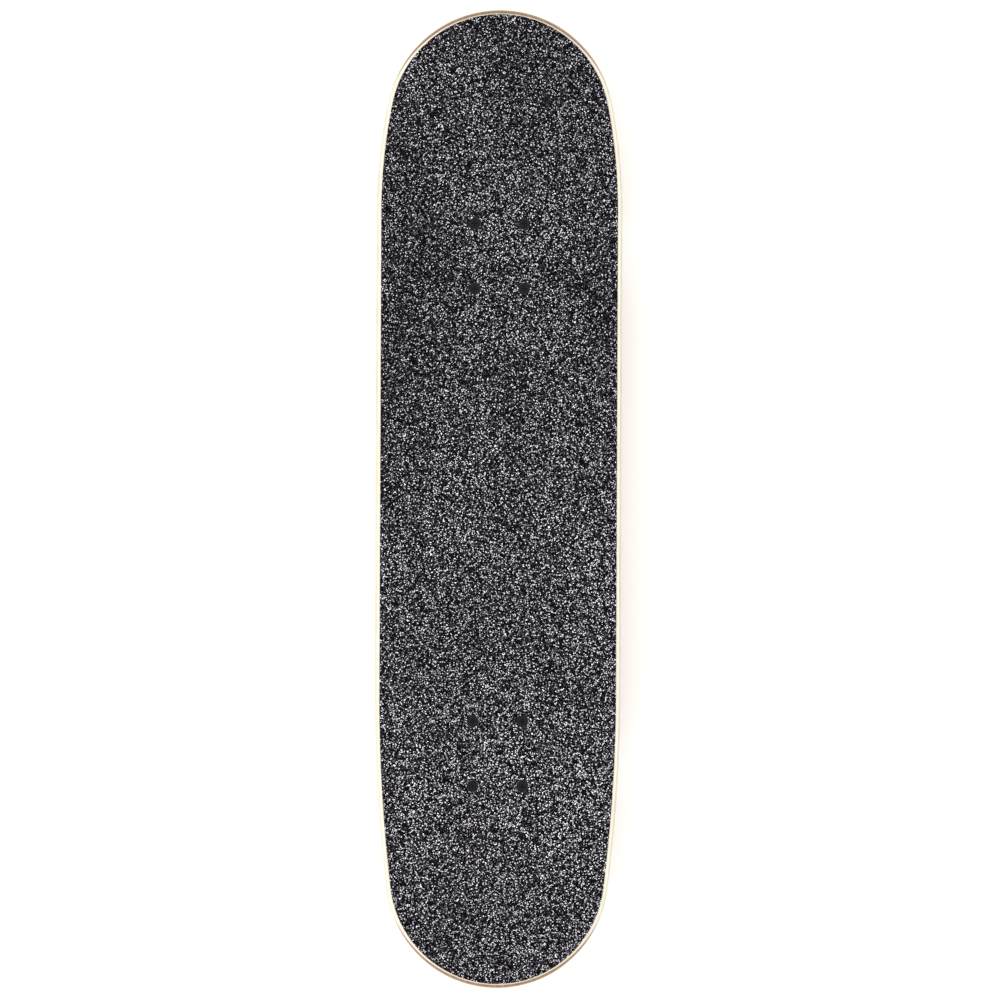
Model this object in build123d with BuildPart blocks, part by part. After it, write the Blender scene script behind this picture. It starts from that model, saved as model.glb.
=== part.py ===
"""A popsicle-shaped skateboard: a seven-ply deck on two sprung trucks and four wheels.

Frame: +Z up, +Y towards the nose, +X to the right when seen from above with the nose
away. The origin is on the ground, under the middle of the board's length. Millimetres.

Each truck is drawn once in its own frame: the origin is at the middle of its bolt
pattern on the deck's underside, +Y points outwards to the tip of the board, and the
rear truck is the front one turned half round.
"""

from build123d import *
from math import atan2, cos, degrees, radians, sin, sqrt, tan
import os

os.makedirs("parts", exist_ok=True)

# Deck, in plan
deck_width = 203.2
nose_overhang = 174.6
tail_overhang = 165.1
wheelbase = 358.8
bolt_pitch_along = 53.98
bolt_pitch_across = 41.28
nose_tip_radius = 94.5
nose_flank_radius = 440.0
tail_tip_radius = 92.3
tail_flank_radius = 1290.0

# Deck, in section
ply_count = 7
ply_thickness = 1.57
edge_round = 3.2
concave_mid = 8.5
concave_end = 3.0
concave_power = 3.5
concave_fade = 100.0
kick_setback = 22.0
kick_bend = 60.0
nose_kick_angle = 21.0
tail_kick_angle = 20.0
face_rows = 61
face_columns = 13
face_margin_along = 8.0
face_margin_across = 6.0
slope_step = 0.05

# Grip sheet
grip_thickness = 0.9
grip_inset = 3.6
grip_hole_gap = 0.3

# Mounting hardware
bolt_radius = 2.38
bolt_head_radius = 4.85
bolt_head_height = 2.7
bolt_head_stand = 0.3
bolt_hole_clearance = 0.3
bolt_nut_flats = 9.5
bolt_nut_height = 4.0
bolt_nut_collar = 1.4
bolt_end = 1.2
recess_width = 1.1
recess_length = 4.8
recess_depth = 1.7
thread_clearance = 0.04

# Truck layout, in its own frame
truck_height = 53.0
seating_gap = 0.02
axle_out = 7.0
pivot_out = 28.0
pivot_drop = 12.5
ring_in = 21.0
ring_drop = 38.0
kingpin_lean = 20.0

# Baseplate
base_width = 56.0
base_front = 42.0
base_back = 36.0
base_thickness = 5.0
base_corner = 9.0
base_round = 1.6
boss_radius = 14.5
boss_taper = 8.0
boss_web = 8.0
socket_wall = 3.5
spine_width = 9.0
spine_depth = 2.6

# Pivot
pivot_radius = 6.0
pivot_shoulder = 0.9
pivot_gap = 1.2
pivot_root_radius = 6.8
pivot_length = 10.7
pivot_clearance = 0.1
cup_wall = 2.7
cup_lip = 1.2
cup_lip_height = 1.2

# Kingpin stack, measured along the kingpin from the middle of the hanger's ring
ring_floor = 3.0
ring_rim = 1.5
ring_radius = 17.0
ring_hole_radius = 7.2
bushing_radius = 13.8
bushing_bore_gap = 0.2
boardside_bushing_height = 14.0
roadside_bushing_height = 10.0
roadside_bushing_tip_radius = 10.6
seat_gap = 0.9
washer_thickness = 1.5
boardside_washer_radius = 14.0
roadside_washer_radius = 11.8
kingpin_radius = 4.76
kingpin_flats = 14.3
kingpin_head_height = 5.6
kingpin_nut_height = 7.0
kingpin_nut_collar = 2.0
kingpin_end = 1.5
kingpin_end_bevel = 0.8
kingpin_hole_clearance = 0.1
kingpin_pocket_gap = 1.0
washer_edge = 0.6
bushing_edge = 1.0
nut_bevel = 0.6
nut_corner_round = 0.1

# Hanger
hanger_width = 134.0
hanger_end_bevel = 0.8
hanger_hub_radius = 12.5
hanger_hub_half = 12.0
hanger_arm_radius = 8.4
hanger_arm_straight = 9.0
yoke_half_width = 40.0
yoke_thickness = 12.0
swing_clearance = 1.5
ring_overlap = 1.0
stub_length = 3.4
upright_half_width = 8.5
upright_top_inset = 1.0
upright_foot_front = 11.25
upright_foot_back = 10.0
upright_foot_height = 5.0
upright_heel_back = 3.75
upright_heel_height = 16.25

# Axle, wheels and bearings
axle_radius = 3.97
axle_end = 0.8
axle_end_bevel = 0.7
axle_nut_flats = 12.7
axle_nut_height = 5.2
axle_nut_collar = 1.3
speed_washer_radius = 5.75
speed_washer_thickness = 0.9
wheel_radius = 26.0
wheel_width = 32.0
tread_width = 19.5
wheel_side_radius = 18.6
wheel_dish = 1.2
dish_width = 1.6
mouth_flare = 0.8
wheel_lip_radius = 9.3
bearing_outer_radius = 11.0
bearing_bore_radius = 4.0
bearing_width = 7.0
bearing_gap = 10.0
ball_radius = 1.984
ball_circle_radius = 7.5
ball_count = 7
race_clearance = 0.06
land_height = 1.55
shield_thickness = 0.45
shield_setback = 0.12
shield_gap = 0.3
cage_thickness = 1.8
cage_half_width = 2.5
pocket_clearance = 0.07
spacer_radius = 5.2

# Places worked out from the sizes above
deck_length = nose_overhang + tail_overhang + wheelbase + 2 * bolt_pitch_along
half_length = deck_length / 2
half_width = deck_width / 2
truck_top_z = wheel_radius + truck_height
underside_z = truck_top_z + seating_gap
deck_top_z = underside_z + ply_count * ply_thickness
front_truck_y = half_length - nose_overhang - bolt_pitch_along / 2
rear_truck_y = tail_overhang + bolt_pitch_along / 2 - half_length
nose_kick_y = half_length - nose_overhang + kick_setback
tail_kick_y = tail_overhang - kick_setback - half_length


# ---------------------------------------------------------------- deck surfaces

def kick_rise(past, angle):
    """Height gained by a kick at a distance past its start: a smooth bend, then straight."""
    slope = tan(radians(angle))
    share = past / kick_bend
    if share <= 0:
        return 0.0
    if share < 1:
        return slope * kick_bend * (share**3 - share**4 / 2)
    return slope * (past - kick_bend / 2)


def concave_depth(y):
    """How far the long edges stand above the middle: deep between the trucks, shallow on the kicks."""
    share = max(y - nose_kick_y, tail_kick_y - y, 0) / concave_fade
    share = min(share, 1)
    return concave_mid + (concave_end - concave_mid) * share**2 * (3 - 2 * share)


def deck_top(x, y):
    """Height of the wood's top face."""
    kicks = kick_rise(y - nose_kick_y, nose_kick_angle) + kick_rise(tail_kick_y - y, tail_kick_angle)
    return deck_top_z + kicks + concave_depth(y) * (abs(x) / half_width) ** concave_power


def deck_point(x, y, depth):
    """A point of the face that lies a depth below the top face, measured square to it."""
    slope_x = (deck_top(x + slope_step, y) - deck_top(x - slope_step, y)) / (2 * slope_step)
    slope_y = (deck_top(x, y + slope_step) - deck_top(x, y - slope_step)) / (2 * slope_step)
    normal = Vector(-slope_x, -slope_y, 1).normalized()
    return Vector(x, y, deck_top(x, y)) - normal * depth


def deck_face(depth):
    """The deck's curved sheet at a depth, reaching a little past the outline all round."""
    reach_x = half_width + face_margin_across
    reach_y = half_length + face_margin_along
    xs = [reach_x * (2 * column / (face_columns - 1) - 1) for column in range(face_columns)]
    ys = [reach_y * (2 * row / (face_rows - 1) - 1) for row in range(face_rows)]
    grid = [[deck_point(x, y, depth) for y in ys] for x in xs]
    return Face.make_surface_from_array_of_points(grid, tol=0.01, min_deg=3, max_deg=3)


glue_lines = [deck_face(ply_thickness * ply) for ply in range(ply_count + 1)]
grip_face = deck_face(-grip_thickness)


def end_arcs(tip_radius, flank_radius):
    """Centre of a tip's arc, start of its flanks and angle of the tangent point, for one end."""
    tip_y = half_length - tip_radius
    across = flank_radius - half_width
    flank_y = tip_y - sqrt((flank_radius - tip_radius) ** 2 - across**2)
    return tip_y, flank_y, degrees(atan2(tip_y - flank_y, across))


nose_y, nose_flank_y, nose_turn = end_arcs(nose_tip_radius, nose_flank_radius)
tail_y, tail_flank_y, tail_turn = end_arcs(tail_tip_radius, tail_flank_radius)
nose_flank_x = half_width - nose_flank_radius
tail_flank_x = half_width - tail_flank_radius

with BuildSketch() as deck_outline:
    with BuildLine():
        Line((half_width, -tail_flank_y), (half_width, nose_flank_y))
        CenterArc((nose_flank_x, nose_flank_y), nose_flank_radius, 0, nose_turn)
        CenterArc((0, nose_y), nose_tip_radius, nose_turn, 180 - 2 * nose_turn)
        CenterArc((-nose_flank_x, nose_flank_y), nose_flank_radius, 180 - nose_turn, nose_turn)
        Line((-half_width, nose_flank_y), (-half_width, -tail_flank_y))
        CenterArc((-tail_flank_x, -tail_flank_y), tail_flank_radius, 180, tail_turn)
        CenterArc((0, -tail_y), tail_tip_radius, 180 + tail_turn, 180 - 2 * tail_turn)
        CenterArc((tail_flank_x, -tail_flank_y), tail_flank_radius, -tail_turn, tail_turn)
    make_face()

# The truck frames, and the drill for their bolts
front_frame = Plane(origin=(0, front_truck_y, truck_top_z), x_dir=(1, 0, 0), z_dir=(0, 0, 1))
rear_frame = Plane(origin=(0, rear_truck_y, truck_top_z), x_dir=(-1, 0, 0), z_dir=(0, 0, 1))
truck_frames = {"front": front_frame, "rear": rear_frame}
head_top = seating_gap + ply_count * ply_thickness + bolt_head_stand
head_slope = (bolt_head_radius - bolt_radius) / bolt_head_height
at_top = (Align.CENTER, Align.CENTER, Align.MAX)
at_base = (Align.CENTER, Align.CENTER, Align.MIN)


def drill(radius):
    """Drill the sheet being built for the eight bolts."""
    with Locations(*[frame.location for frame in truck_frames.values()]):
        with GridLocations(bolt_pitch_across, bolt_pitch_along, 2, 2):
            Cylinder(radius, 4 * head_top, mode=Mode.SUBTRACT)


def sunk_hole_radius(ply):
    """Radius of a ply's bolt holes: clear of the conical head where it enters the ply, or of the shank."""
    head_depth = bolt_head_stand + ply * ply_thickness
    return max(bolt_head_radius - head_slope * head_depth, bolt_radius) + bolt_hole_clearance


def write(piece, name):
    """Label a finished piece and write it."""
    piece.part.label = name
    export_step(piece.part, f"parts/{name}.step")


# ------------------------------------------------------------------ deck plies

with BuildPart() as deck_blank:
    add(deck_outline.sketch)
    extrude(amount=2 * deck_top_z)
    split(bisect_by=glue_lines[0], keep=Keep.BOTTOM)
    split(bisect_by=glue_lines[-1], keep=Keep.TOP)
    rims = deck_blank.edges().filter_by(GeomType.LINE, reverse=True)
    fillet(rims, radius=edge_round)

ply_names = [
    "deck_ply_1_top",
    "deck_ply_2_long_grain",
    "deck_ply_3_cross_grain",
    "deck_ply_4_core",
    "deck_ply_5_cross_grain",
    "deck_ply_6_long_grain",
    "deck_ply_7_bottom",
]
for ply, name in enumerate(ply_names):
    with BuildPart() as deck_ply:
        add(deck_blank.part)
        if ply > 0:
            split(bisect_by=glue_lines[ply], keep=Keep.BOTTOM)
        if ply < ply_count - 1:
            split(bisect_by=glue_lines[ply + 1], keep=Keep.TOP)
        drill(sunk_hole_radius(ply))
    write(deck_ply, name)

# ------------------------------------------------------------------- grip tape

with BuildSketch() as grip_outline:
    add(deck_outline.sketch)
    offset(amount=-grip_inset)

with BuildPart() as grip_tape:
    add(grip_outline.sketch)
    extrude(amount=2 * deck_top_z)
    split(bisect_by=grip_face, keep=Keep.BOTTOM)
    split(bisect_by=glue_lines[0], keep=Keep.TOP)
    drill(bolt_head_radius + grip_hole_gap)
write(grip_tape, "grip_tape")

# ---------------------------------------------- frames inside the truck's frame

ring_middle = Vector(0, -ring_in, -ring_drop)
pivot_middle = Vector(0, pivot_out, -pivot_drop)
axle_middle = Vector(0, axle_out, -truck_height)
steer_direction = (pivot_middle - ring_middle).normalized()
kingpin_direction = Vector(0, sin(radians(kingpin_lean)), cos(radians(kingpin_lean)))
yoke_direction = (ring_middle - axle_middle).normalized()

kingpin_frame = Plane(origin=ring_middle, x_dir=(1, 0, 0), z_dir=kingpin_direction)
steer_frame = Plane(origin=pivot_middle, x_dir=(1, 0, 0), z_dir=steer_direction)
axle_frame = Plane(origin=axle_middle, x_dir=(0, 1, 0), z_dir=(1, 0, 0))
yoke_frame = Plane(origin=axle_middle, x_dir=(1, 0, 0), z_dir=Vector(1, 0, 0).cross(yoke_direction))
side_frame = Plane(origin=(0, 0, 0), x_dir=(0, 1, 0), z_dir=(1, 0, 0))


def turning_plane(frame):
    """The plane for a profile turned about a frame's z: x is the radius and y runs along the axis."""
    return Plane(origin=frame.origin, x_dir=frame.x_dir, z_dir=-frame.y_dir)


def turning_axis(frame):
    """A frame's z as the axis to turn a profile about."""
    return Axis(frame.origin, frame.z_dir)


# Stations along the kingpin, from the middle of the ring
bushing_top = ring_floor + boardside_bushing_height
boss_seat = bushing_top + washer_thickness
head_seat = boss_seat + boss_web
head_crown = head_seat + kingpin_head_height
bushing_bottom = -ring_floor - roadside_bushing_height
nut_seat = bushing_bottom - washer_thickness
kingpin_tip = nut_seat - kingpin_nut_height - kingpin_nut_collar - kingpin_end
kingpin_head_corner = kingpin_flats / sqrt(3) + nut_corner_round

# ------------------------------------------------------------------- baseplate

socket_radius = pivot_radius + pivot_clearance + cup_wall
housing_radius = socket_radius + socket_wall
housing_mouth = cup_lip_height - pivot_length

with BuildPart() as baseplate:
    with BuildSketch():
        with Locations((0, (base_front - base_back) / 2)):
            RectangleRounded(base_width, base_front + base_back, base_corner)
    extrude(amount=-base_thickness)
    chamfer(baseplate.faces().sort_by(Axis.Z)[0].edges(), length=base_round)
    # The boss that the kingpin stands in, and the spine to the pivot housing
    with BuildSketch(kingpin_frame.offset(boss_seat)):
        Circle(boss_radius)
    extrude(amount=boss_web + 4 * base_thickness, taper=-boss_taper)
    with BuildSketch(side_frame):
        with BuildLine():
            Polyline(
                (-ring_in, -base_thickness / 2),
                (-ring_in / 2, -base_thickness - spine_depth),
                (pivot_out, -base_thickness - spine_depth),
                (pivot_out, -base_thickness / 2),
                close=True,
            )
        make_face()
    extrude(amount=spine_width / 2, both=True)
    # The round-ended housing for the pivot cup
    with BuildSketch(turning_plane(steer_frame)):
        with BuildLine():
            Line((0, housing_mouth), (housing_radius, housing_mouth))
            Line((housing_radius, housing_mouth), (housing_radius, 0))
            CenterArc((0, 0), housing_radius, 0, 90)
            Line((0, housing_radius), (0, housing_mouth))
        make_face()
    revolve(axis=turning_axis(steer_frame))
    split(bisect_by=Plane.XY, keep=Keep.BOTTOM)
    # Socket for the cup
    with BuildSketch(turning_plane(steer_frame)):
        with BuildLine():
            Line((0, -2 * pivot_length), (socket_radius, -2 * pivot_length))
            Line((socket_radius, -2 * pivot_length), (socket_radius, 0))
            CenterArc((0, 0), socket_radius, 0, 90)
            Line((0, socket_radius), (0, -2 * pivot_length))
        make_face()
    revolve(axis=turning_axis(steer_frame), mode=Mode.SUBTRACT)
    # Kingpin hole, and the pocket for its head
    with BuildSketch(kingpin_frame.offset(boss_seat)):
        Circle(kingpin_radius + kingpin_hole_clearance)
    extrude(amount=boss_web, mode=Mode.SUBTRACT)
    with BuildSketch(kingpin_frame.offset(head_seat)):
        Circle(kingpin_head_corner + kingpin_pocket_gap)
    extrude(amount=2 * truck_height, mode=Mode.SUBTRACT)
    with GridLocations(bolt_pitch_across, bolt_pitch_along, 2, 2):
        Cylinder(bolt_radius + bolt_hole_clearance, 4 * base_thickness, mode=Mode.SUBTRACT)

# ------------------------------------------------------------------- pivot cup

with BuildPart() as pivot_cup:
    with BuildSketch(turning_plane(steer_frame)):
        with BuildLine():
            Polyline(
                (pivot_radius + pivot_clearance, 0),
                (pivot_root_radius + pivot_clearance, -pivot_length),
                (socket_radius + cup_lip, -pivot_length),
                (socket_radius + cup_lip, housing_mouth),
                (socket_radius, housing_mouth),
                (socket_radius, 0),
            )
            CenterArc((0, 0), socket_radius, 0, 90)
            Line((0, socket_radius), (0, pivot_radius + pivot_clearance))
            CenterArc((0, 0), pivot_radius + pivot_clearance, 90, -90)
        make_face()
    revolve(axis=turning_axis(steer_frame))

# --------------------------------------------------------------------- kingpin

with BuildPart() as kingpin:
    with BuildSketch(kingpin_frame.offset(head_seat)):
        RegularPolygon(kingpin_flats / 2, 6, major_radius=False)
    extrude(amount=kingpin_head_height)
    with BuildSketch(turning_plane(kingpin_frame)):
        with BuildLine():
            Polyline(
                (0, head_seat),
                (0, head_crown),
                (kingpin_flats / 2 - nut_bevel, head_crown),
                (kingpin_head_corner, head_crown - nut_bevel),
                (kingpin_head_corner, head_seat),
                close=True,
            )
        make_face()
    revolve(axis=turning_axis(kingpin_frame), mode=Mode.INTERSECT)
    with BuildSketch(kingpin_frame.offset(kingpin_tip)):
        Circle(kingpin_radius)
    extrude(amount=head_seat - kingpin_tip)
    chamfer(kingpin.faces().sort_by(Axis.Z)[0].edges(), length=kingpin_end_bevel)


def lock_nut(frame, flats, bore, height, collar):
    """A lock nut that sits on the frame's plane and reaches along its z, with a round collar."""
    corner = flats / sqrt(3) + nut_corner_round
    with BuildPart() as nut:
        with BuildSketch(frame):
            RegularPolygon(flats / 2, 6, major_radius=False)
        extrude(amount=height)
        with BuildSketch(turning_plane(frame)):
            with BuildLine():
                Polyline(
                    (0, 0),
                    (flats / 2, 0),
                    (corner, nut_bevel),
                    (corner, height - nut_bevel),
                    (flats / 2 - nut_bevel / 2, height),
                    (0, height),
                    close=True,
                )
            make_face()
        revolve(axis=turning_axis(frame), mode=Mode.INTERSECT)
        with BuildSketch(frame.offset(height)):
            Circle(flats / 2 - nut_bevel)
        extrude(amount=collar)
        with BuildSketch(frame):
            Circle(bore)
        extrude(amount=height + collar, mode=Mode.SUBTRACT)
    return nut


nut_frame = Plane(
    origin=kingpin_frame.offset(nut_seat).origin, x_dir=(1, 0, 0), z_dir=-kingpin_direction
)
kingpin_nut = lock_nut(
    nut_frame, kingpin_flats, kingpin_radius + thread_clearance, kingpin_nut_height, kingpin_nut_collar
)

# -------------------------------------------------------- washers and bushings


def kingpin_ring(profile):
    """A ring turned about the kingpin from points of radius and station."""
    with BuildPart() as ring:
        with BuildSketch(turning_plane(kingpin_frame)):
            with BuildLine():
                Polyline(*profile, close=True)
            make_face()
        revolve(axis=turning_axis(kingpin_frame))
    return ring


washer_bore = kingpin_radius + kingpin_hole_clearance
bushing_bore = kingpin_radius + bushing_bore_gap

boardside_washer = kingpin_ring(
    [
        (washer_bore, bushing_top),
        (boardside_washer_radius - washer_edge, bushing_top),
        (boardside_washer_radius, bushing_top + washer_edge),
        (boardside_washer_radius, boss_seat),
        (washer_bore, boss_seat),
    ]
)
roadside_washer = kingpin_ring(
    [
        (washer_bore, bushing_bottom),
        (roadside_washer_radius, bushing_bottom),
        (roadside_washer_radius, nut_seat + washer_edge),
        (roadside_washer_radius - washer_edge, nut_seat),
        (washer_bore, nut_seat),
    ]
)
boardside_bushing = kingpin_ring(
    [
        (bushing_bore, ring_floor),
        (bushing_radius - bushing_edge, ring_floor),
        (bushing_radius, ring_floor + bushing_edge),
        (bushing_radius, bushing_top - bushing_edge),
        (bushing_radius - bushing_edge, bushing_top),
        (bushing_bore, bushing_top),
    ]
)
roadside_bushing = kingpin_ring(
    [
        (bushing_bore, -ring_floor),
        (bushing_radius - bushing_edge, -ring_floor),
        (bushing_radius, -ring_floor - bushing_edge),
        (roadside_bushing_tip_radius, bushing_bottom + bushing_edge / 2),
        (roadside_bushing_tip_radius - bushing_edge / 2, bushing_bottom),
        (bushing_bore, bushing_bottom),
    ]
)

# ----------------------------------------------------------- mounting hardware

with BuildPart() as mounting_bolts:
    with Locations((0, 0, head_top)):
        with GridLocations(bolt_pitch_across, bolt_pitch_along, 2, 2):
            Cone(bolt_radius, bolt_head_radius, bolt_head_height, align=at_top)
            Cylinder(
                bolt_radius,
                head_top + base_thickness + bolt_nut_height + bolt_nut_collar + bolt_end,
                align=at_top,
            )
            Box(recess_length, recess_width, 2 * recess_depth, mode=Mode.SUBTRACT)
            Box(recess_width, recess_length, 2 * recess_depth, mode=Mode.SUBTRACT)

bolt_nut = lock_nut(
    Plane(origin=(0, 0, -base_thickness), x_dir=(1, 0, 0), z_dir=(0, 0, -1)),
    bolt_nut_flats,
    bolt_radius + thread_clearance,
    bolt_nut_height,
    bolt_nut_collar,
)

with BuildPart() as mounting_nuts:
    with GridLocations(bolt_pitch_across, bolt_pitch_along, 2, 2):
        add(bolt_nut.part)

# ---------------------------------------------------------------------- hanger

hanger_half = hanger_width / 2
ring_half = ring_floor + ring_rim
seat_radius = bushing_radius + seat_gap
stub_radius = pivot_root_radius + pivot_shoulder
stub_top = -pivot_length - pivot_gap
yoke_reach = (ring_middle - axle_middle).length
yoke_end = yoke_reach - ring_radius / 2


def upright_corner(offset_across):
    """A corner of the upright's top edge, square to the steering axis, in the side view."""
    down_axis = steer_direction * (stub_top - stub_length / 2)
    corner = pivot_middle + down_axis - steer_frame.y_dir * offset_across
    return corner.Y, corner.Z


with BuildPart() as hanger:
    # Arms, turned about the axle
    with BuildSketch(turning_plane(axle_frame)):
        with BuildLine():
            Polyline(
                (hanger_hub_radius, -hanger_hub_half),
                (hanger_hub_radius, hanger_hub_half),
            )
            Spline(
                (hanger_hub_radius, hanger_hub_half),
                (hanger_arm_radius, hanger_half - hanger_arm_straight),
                tangents=[(0, 1), (0, 1)],
            )
            Polyline(
                (hanger_arm_radius, hanger_half - hanger_arm_straight),
                (hanger_arm_radius, hanger_half),
                (0, hanger_half),
                (0, -hanger_half),
                (hanger_arm_radius, -hanger_half),
                (hanger_arm_radius, hanger_arm_straight - hanger_half),
            )
            Spline(
                (hanger_arm_radius, hanger_arm_straight - hanger_half),
                (hanger_hub_radius, -hanger_hub_half),
                tangents=[(0, 1), (0, 1)],
            )
        make_face()
    revolve(axis=turning_axis(axle_frame))
    ends = hanger.faces().filter_by(GeomType.PLANE)
    chamfer(ends.edges(), length=hanger_end_bevel)
    # The three-cornered yoke from the arms to the ring
    with BuildSketch(yoke_frame):
        with BuildLine():
            Spline(
                (yoke_half_width, 0),
                (ring_radius, yoke_end),
                tangents=[(-1, 0.15), (-0.3, 1)],
            )
            Line((ring_radius, yoke_end), (-ring_radius, yoke_end))
            Spline(
                (-ring_radius, yoke_end),
                (-yoke_half_width, 0),
                tangents=[(-0.3, -1), (-1, -0.15)],
            )
            Line((-yoke_half_width, 0), (yoke_half_width, 0))
        make_face()
    extrude(amount=yoke_thickness / 2, both=True)
    # The upright that carries the pivot, from the stub's root down into the hub
    with BuildSketch(side_frame):
        with BuildLine():
            Polyline(
                upright_corner(stub_radius - upright_top_inset),
                upright_corner(upright_top_inset - stub_radius),
                (axle_out + upright_foot_front, upright_foot_height - truck_height),
                (axle_out - upright_foot_back, upright_foot_height - truck_height),
                (axle_out - upright_heel_back, upright_heel_height - truck_height),
                close=True,
            )
        make_face()
    extrude(amount=upright_half_width, both=True)
    with BuildSketch(turning_plane(steer_frame)):
        with BuildLine():
            Polyline(
                (0, stub_top - stub_length),
                (stub_radius, stub_top - stub_length),
                (stub_radius, stub_top),
                (pivot_root_radius, -pivot_length),
                (pivot_radius, 0),
            )
            CenterArc((0, 0), pivot_radius, 0, 90)
            Line((0, pivot_radius), (0, stub_top - stub_length))
        make_face()
    revolve(axis=turning_axis(steer_frame))
    # Room for the kingpin stack as the hanger swings
    with BuildSketch(kingpin_frame.offset(-truck_height)):
        Circle(ring_radius + swing_clearance)
    extrude(amount=2 * truck_height, mode=Mode.SUBTRACT)
    # The ring, with a shallow seat for a bushing in each face
    with BuildSketch(kingpin_frame):
        Circle(ring_radius + swing_clearance + ring_overlap)
    extrude(amount=ring_half, both=True)
    with BuildSketch(kingpin_frame.offset(ring_floor)):
        Circle(seat_radius)
    extrude(amount=truck_height, mode=Mode.SUBTRACT)
    with BuildSketch(kingpin_frame.offset(-ring_floor)):
        Circle(seat_radius)
    extrude(amount=-truck_height, mode=Mode.SUBTRACT)
    with BuildSketch(kingpin_frame):
        Circle(ring_hole_radius)
    extrude(amount=ring_half, both=True, mode=Mode.SUBTRACT)
    # Bore for the axle
    with BuildSketch(axle_frame):
        Circle(axle_radius)
    extrude(amount=hanger_half, both=True, mode=Mode.SUBTRACT)

# ------------------------------------------------------- axle and what is on it

bearing_stack = 2 * bearing_width + bearing_gap
inner_face = hanger_half + speed_washer_thickness
outer_face = inner_face + bearing_stack
wheel_middle = inner_face + bearing_stack / 2
axle_nut_seat = outer_face + speed_washer_thickness
axle_tip = axle_nut_seat + axle_nut_height + axle_nut_collar + axle_end
bearing_middle = inner_face + bearing_width / 2
wheel_plane = Plane.YZ.offset(wheel_middle)
sleeve_bore = axle_radius + thread_clearance

with BuildPart() as axle:
    with BuildSketch(axle_frame):
        Circle(axle_radius)
    extrude(amount=axle_tip, both=True)
    chamfer(axle.faces().filter_by(GeomType.PLANE).edges(), length=axle_end_bevel)

axle_nut = lock_nut(
    axle_frame.offset(axle_nut_seat), axle_nut_flats, sleeve_bore, axle_nut_height, axle_nut_collar
)

with BuildPart() as axle_nuts:
    add(axle_nut.part)
    mirror(about=Plane.YZ)

with BuildPart() as speed_washers:
    for seat in (hanger_half, outer_face):
        with BuildSketch(axle_frame.offset(seat)):
            Circle(speed_washer_radius)
            Circle(sleeve_bore, mode=Mode.SUBTRACT)
        extrude(amount=speed_washer_thickness)
    mirror(about=Plane.YZ)

with BuildPart() as bearing_spacers:
    with BuildSketch(axle_frame.offset(inner_face + bearing_width)):
        Circle(spacer_radius)
        Circle(sleeve_bore, mode=Mode.SUBTRACT)
    extrude(amount=bearing_gap)
    mirror(about=Plane.YZ)

# -------------------------------------------------------------------- bearings

bearing_frame = axle_frame.offset(bearing_middle)
race_radius = ball_radius + race_clearance
race_half = sqrt(race_radius**2 - land_height**2)
inner_land = ball_circle_radius - land_height
outer_land = ball_circle_radius + land_height


def bearing_ring(wall, land, groove):
    """One ring of a ball bearing, with a round groove in its land for the balls."""
    half = bearing_width / 2
    with BuildPart() as ring:
        with BuildSketch(turning_plane(bearing_frame)):
            with BuildLine():
                Polyline(
                    (land, race_half),
                    (land, half),
                    (wall, half),
                    (wall, -half),
                    (land, -half),
                    (land, -race_half),
                )
                ThreePointArc((land, -race_half), (groove, 0), (land, race_half))
            make_face()
        revolve(axis=turning_axis(bearing_frame))
    return ring


inner_ring = bearing_ring(bearing_bore_radius, inner_land, ball_circle_radius - race_radius)
outer_ring = bearing_ring(bearing_outer_radius, outer_land, ball_circle_radius + race_radius)

with BuildPart() as bearing_inner_rings:
    add(inner_ring.part)
    mirror(about=wheel_plane)
    mirror(about=Plane.YZ)

with BuildPart() as bearing_outer_rings:
    add(outer_ring.part)
    mirror(about=wheel_plane)

with BuildPart() as bearing_shields:
    with BuildSketch(bearing_frame.offset(bearing_width / 2 - shield_setback)):
        Circle(outer_land)
        Circle(inner_land + shield_gap, mode=Mode.SUBTRACT)
    extrude(amount=-shield_thickness)
    mirror(about=Plane.YZ.offset(bearing_middle))
    mirror(about=wheel_plane)

with BuildPart() as bearing_cages:
    with BuildSketch(bearing_frame):
        Circle(ball_circle_radius + cage_thickness / 2)
        Circle(ball_circle_radius - cage_thickness / 2, mode=Mode.SUBTRACT)
    extrude(amount=cage_half_width, both=True)
    with Locations(bearing_frame):
        with PolarLocations(ball_circle_radius, ball_count):
            Cylinder(
                ball_radius + pocket_clearance,
                2 * cage_thickness,
                rotation=(0, 90, 0),
                mode=Mode.SUBTRACT,
            )
    mirror(about=wheel_plane)

with BuildPart() as bearing_balls:
    with Locations(bearing_frame):
        with PolarLocations(ball_circle_radius, ball_count):
            Sphere(ball_radius)
    mirror(about=wheel_plane)

# ----------------------------------------------------------------------- wheel

wheel_half = wheel_width / 2
seat_inner = bearing_gap / 2
seat_outer = bearing_stack / 2
dish_face = wheel_half - wheel_dish

with BuildPart() as wheel:
    with BuildSketch(turning_plane(axle_frame.offset(wheel_middle))):
        with BuildLine():
            Polyline(
                (wheel_lip_radius, 0),
                (wheel_lip_radius, seat_inner),
                (bearing_outer_radius, seat_inner),
                (bearing_outer_radius, seat_outer),
                (bearing_outer_radius + mouth_flare, dish_face),
                (wheel_side_radius - wheel_dish - dish_width, dish_face),
                (wheel_side_radius - dish_width, wheel_half),
                (wheel_side_radius, wheel_half),
            )
            Spline(
                (wheel_side_radius, wheel_half),
                (wheel_radius, tread_width / 2),
                tangents=[(1, 0), (0, -1)],
            )
            Line((wheel_radius, tread_width / 2), (wheel_radius, 0))
            mirror(about=Plane.XZ)
        make_face()
    revolve(axis=turning_axis(axle_frame))

# -------------------------------------- both trucks, placed in the board's frame

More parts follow.
